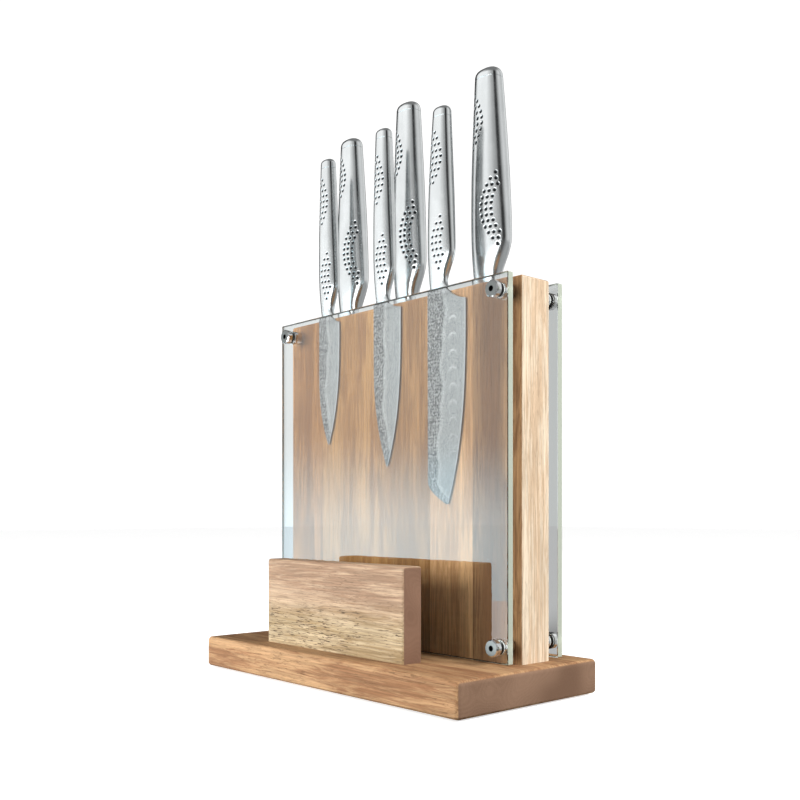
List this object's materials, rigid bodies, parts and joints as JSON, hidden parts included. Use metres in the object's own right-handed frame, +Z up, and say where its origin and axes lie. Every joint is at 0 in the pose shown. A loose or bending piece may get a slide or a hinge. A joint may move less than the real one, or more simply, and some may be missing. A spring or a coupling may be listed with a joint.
{
  "type": "knife block with knives",
  "caption": "Upright wooden board on a base plate with clear panels on standoffs at both faces, holding knives with steel handles by magnets in the gaps, and a low block in front.",
  "frame": {"origin": "on the resting plane, under the middle of the whole object's footprint", "axes": "+X along the base to the right, +Y from the small front block towards the rear panel, +Z up along the blades"},
  "size_m": [0.27, 0.129, 0.4231],
  "materials": {
    "base_wood": "oiled, horizontal grain",
    "board_wood": "oiled, vertical grain",
    "block_wood": "oiled, horizontal grain",
    "clear_acrylic": "polished clear acrylic",
    "clear_washer": "clear silicone",
    "standoff_steel": "polished",
    "insert_brass": "machined",
    "zinc_screw": "zinc plated",
    "magnet": "nickel plated",
    "foot_rubber": "matt",
    "blade_steel": "hammered flats, satin bevel",
    "handle_steel": "bright satin with dimpled grip patches"
  },
  "bodies": {
    "block": {"base": "base_wood", "foot_front_left": "foot_rubber", "foot_front_right": "foot_rubber", "foot_rear_left": "foot_rubber", "foot_rear_right": "foot_rubber", "board_stave_1": "board_wood", "board_stave_2": "board_wood", "board_stave_3": "board_wood", "board_stave_4": "board_wood", "board_stave_5": "board_wood", "board_stave_6": "board_wood", "front_magnets": "magnet", "rear_magnets": "magnet", "board_screws": "zinc_screw", "front_block": "block_wood", "block_screws": "zinc_screw", "front_panel": "clear_acrylic", "rear_panel": "clear_acrylic", "front_spacers": "standoff_steel", "front_washers": "clear_washer", "front_inserts": "insert_brass", "front_cap_screws": "standoff_steel", "rear_spacers": "standoff_steel", "rear_washers": "clear_washer", "rear_inserts": "insert_brass", "rear_cap_screws": "standoff_steel"},
    "paring_knife": {"paring_blade": "blade_steel", "paring_handle": "handle_steel", "paring_butt_cap": "handle_steel"},
    "utility_knife": {"utility_blade": "blade_steel", "utility_handle": "handle_steel", "utility_butt_cap": "handle_steel"},
    "santoku_knife": {"santoku_blade": "blade_steel", "santoku_handle": "handle_steel", "santoku_butt_cap": "handle_steel"},
    "carving_knife": {"carving_blade": "blade_steel", "carving_handle": "handle_steel", "carving_butt_cap": "handle_steel"},
    "bread_knife": {"bread_blade": "blade_steel", "bread_handle": "handle_steel", "bread_butt_cap": "handle_steel"},
    "chef_knife": {"chef_blade": "blade_steel", "chef_handle": "handle_steel", "chef_butt_cap": "handle_steel"}
  },
  "joints": [
    {"name": "paring_knife_lift", "type": "slide", "parent": "block", "child": "paring_knife", "axis": [0, 0, 1], "range_m": [0, 0.115]},
    {"name": "utility_knife_lift", "type": "slide", "parent": "block", "child": "utility_knife", "axis": [0, 0, 1], "range_m": [0, 0.135]},
    {"name": "santoku_knife_lift", "type": "slide", "parent": "block", "child": "santoku_knife", "axis": [0, 0, 1], "range_m": [0, 0.16]},
    {"name": "carving_knife_lift", "type": "slide", "parent": "block", "child": "carving_knife", "axis": [0, 0, 1], "range_m": [0, 0.215]},
    {"name": "bread_knife_lift", "type": "slide", "parent": "block", "child": "bread_knife", "axis": [0, 0, 1], "range_m": [0, 0.22]},
    {"name": "chef_knife_lift", "type": "slide", "parent": "block", "child": "chef_knife", "axis": [0, 0, 1], "range_m": [0, 0.22]}
  ]
}
